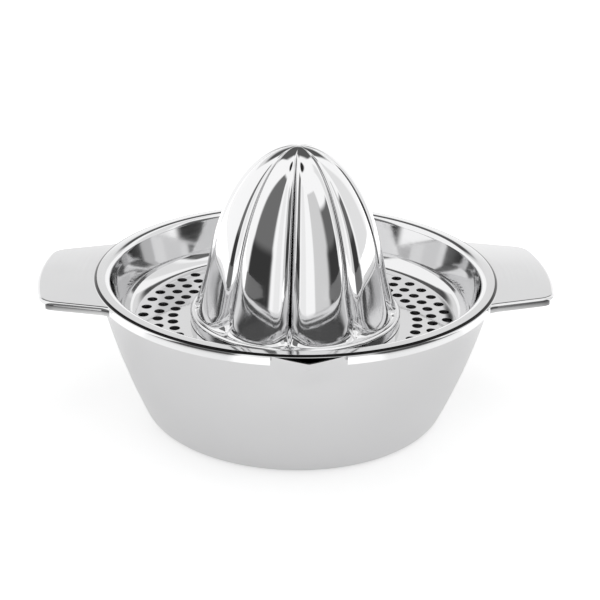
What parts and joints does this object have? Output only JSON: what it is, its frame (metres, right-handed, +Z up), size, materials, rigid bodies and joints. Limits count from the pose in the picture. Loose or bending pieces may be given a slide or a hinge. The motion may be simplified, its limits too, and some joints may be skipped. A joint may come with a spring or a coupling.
{
  "type": "manual citrus juicer",
  "caption": "Stainless steel citrus juicer: a tapered bowl with a pour lip, a lift-off strainer tray with flat side handles, and a fluted reamer.",
  "frame": {"origin": "the ground under the middle of the bowl, which is the bottom centre of the bounding box", "axes": "+Z up; +X along the two handles, towards the right one; -Y towards the pour lip"},
  "size_m": [0.1934, 0.1516, 0.1047],
  "materials": {
    "satin_steel": "finely polished stainless steel with soft, slightly blurred reflections",
    "polished_steel": "mirror polished stainless steel with a slight softness in the reflections",
    "mirror_steel": "bright mirror polished stainless steel"
  },
  "bodies": {
    "bowl": {"bowl": "satin_steel"},
    "strainer": {"strainer_tray": "polished_steel", "reamer": "mirror_steel"}
  },
  "joints": [
    {"name": "tray_lift", "type": "slide", "parent": "bowl", "child": "strainer", "axis": [0, 0, 1], "range_m": [0, 0.045]}
  ]
}
